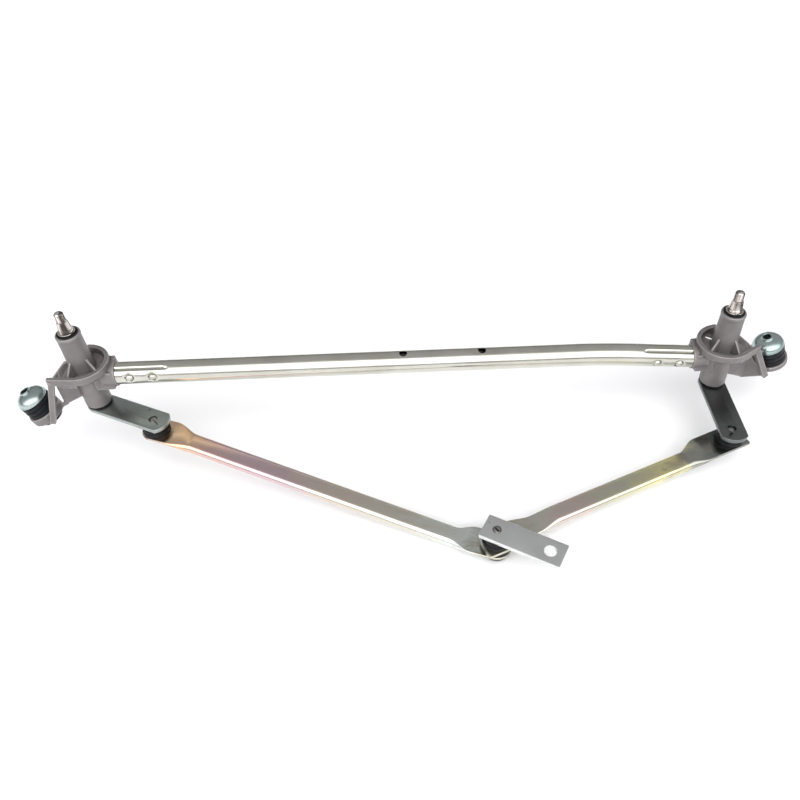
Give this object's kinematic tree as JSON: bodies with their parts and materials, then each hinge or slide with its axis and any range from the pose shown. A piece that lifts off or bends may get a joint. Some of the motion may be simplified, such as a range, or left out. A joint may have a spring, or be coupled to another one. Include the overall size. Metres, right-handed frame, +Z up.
{
  "type": "wiper linkage",
  "caption": "Windscreen wiper linkage: frame tube between two cast spindle housings, levers and ball-jointed push rods that meet on a motor crank.",
  "frame": {"origin": "middle of the left mounting sleeve, in the plane of its cap's rim", "axes": "+X from the left spindle towards the right one, +Z up along the parallel spindles, +Y away from the push rods"},
  "size_m": [0.695, 0.2097, 0.167],
  "materials": {
    "tube_zinc": "bright zinc plate",
    "cast_aluminium": "matte die-cast",
    "bronze": "sintered",
    "seal_black": "matte",
    "rubber_black": "moulded",
    "cap_zinc": "blue zinc plate",
    "spindle_steel": "ground and plated",
    "lever_zinc": "dull zinc plate",
    "stud_steel": "satin",
    "clip_steel": "satin",
    "washer_black": "matte",
    "rod_passivate": "iridescent zinc passivation",
    "socket_plastic": "moulded",
    "crank_steel": "satin zinc plate"
  },
  "bodies": {
    "frame": {"frame_tube": "tube_zinc", "left_housing": "cast_aluminium", "left_upper_bush": "bronze", "left_lower_bush": "bronze", "left_seal_ring": "seal_black", "left_grommet": "rubber_black", "left_mount_sleeve": "cap_zinc", "right_housing": "cast_aluminium", "right_upper_bush": "bronze", "right_lower_bush": "bronze", "right_seal_ring": "seal_black", "right_grommet": "rubber_black", "right_mount_sleeve": "cap_zinc"},
    "left_spindle_set": {"left_spindle": "spindle_steel", "left_lever": "lever_zinc", "left_ball_stud": "stud_steel", "left_circlip": "clip_steel", "left_thrust_washer": "washer_black"},
    "left_rod_set": {"left_rod": "rod_passivate", "left_rod_outer_socket": "socket_plastic", "left_rod_inner_socket": "socket_plastic"},
    "right_spindle_set": {"right_spindle": "spindle_steel", "right_lever": "lever_zinc", "right_ball_stud": "stud_steel", "right_circlip": "clip_steel", "right_thrust_washer": "washer_black"},
    "right_rod_set": {"right_rod": "rod_passivate", "right_rod_outer_socket": "socket_plastic", "right_rod_inner_socket": "socket_plastic"},
    "crank_set": {"motor_crank": "crank_steel", "crank_ball_stud": "stud_steel"}
  },
  "joints": [
    {"name": "left_spindle_turn", "type": "hinge", "parent": "frame", "child": "left_spindle_set", "pos_m": [0.052, 0.008, -0.0145], "axis": [0, 0, 1], "range_deg": [-50, 10]},
    {"name": "right_spindle_turn", "type": "hinge", "parent": "frame", "child": "right_spindle_set", "pos_m": [0.612, 0.008, -0.0415], "axis": [0, 0, 1], "range_deg": [-33, 7]},
    {"name": "left_rod_turn", "type": "hinge", "parent": "left_spindle_set", "child": "left_rod_set", "pos_m": [0.10546, -0.01924, -0.0288], "axis": [0, 0, 1], "range_deg": [-11.5, 56]},
    {"name": "right_rod_turn", "type": "hinge", "parent": "right_spindle_set", "child": "right_rod_set", "pos_m": [0.60991, -0.05196, -0.0558], "axis": [0, 0, 1], "range_deg": [-7.5, 36.5]},
    {"name": "crank_turn", "type": "hinge", "parent": "right_rod_set", "child": "crank_set", "pos_m": [0.39422, -0.13606, -0.0615], "axis": [0, 0, 1], "continuous": true}
  ],
  "couplings": [
    {"joint": "right_spindle_turn", "follows": "left_spindle_turn", "ratio": 0.65},
    {"joint": "left_rod_turn", "follows": "left_spindle_turn", "ratio": -1.114},
    {"joint": "right_rod_turn", "follows": "left_spindle_turn", "ratio": -0.725}
  ]
}
